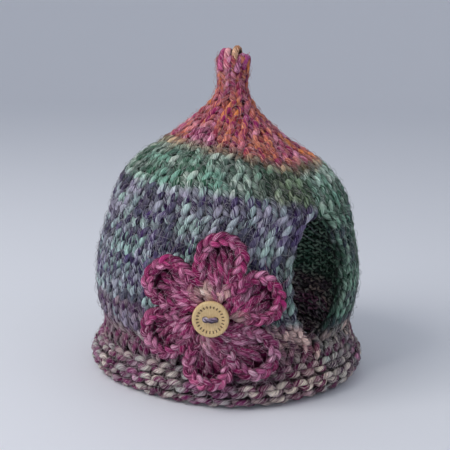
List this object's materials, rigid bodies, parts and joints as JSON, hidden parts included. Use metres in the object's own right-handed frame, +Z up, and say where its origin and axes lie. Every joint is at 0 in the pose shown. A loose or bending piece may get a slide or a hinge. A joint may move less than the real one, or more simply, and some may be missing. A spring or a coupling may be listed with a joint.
{
  "type": "tea cosy",
  "caption": "Hand-knitted tea cosy with a rolled garter hem, slits for spout and handle, a pointed crown with a stalk, and a crocheted flower with a wooden button.",
  "frame": {"origin": "on the upright axis at the table, at the centre of the hem", "axes": "+Z up the axis to the stalk, +X through the middle of the handle slit, -X through the spout slit"},
  "size_m": [0.1738, 0.1707, 0.198],
  "materials": {
    "knit": "chunky marled yarn in bands of plum, purple, mint, green and orange",
    "crochet": "chunky magenta marled yarn, crocheted",
    "button_wood": "smooth pale wood, light sheen",
    "sewing_yarn": "grey-purple yarn strand"
  },
  "bodies": {
    "root": {"cosy": "knit", "flower": "crochet", "button": "button_wood", "button_yarn": "sewing_yarn"}
  },
  "joints": []
}
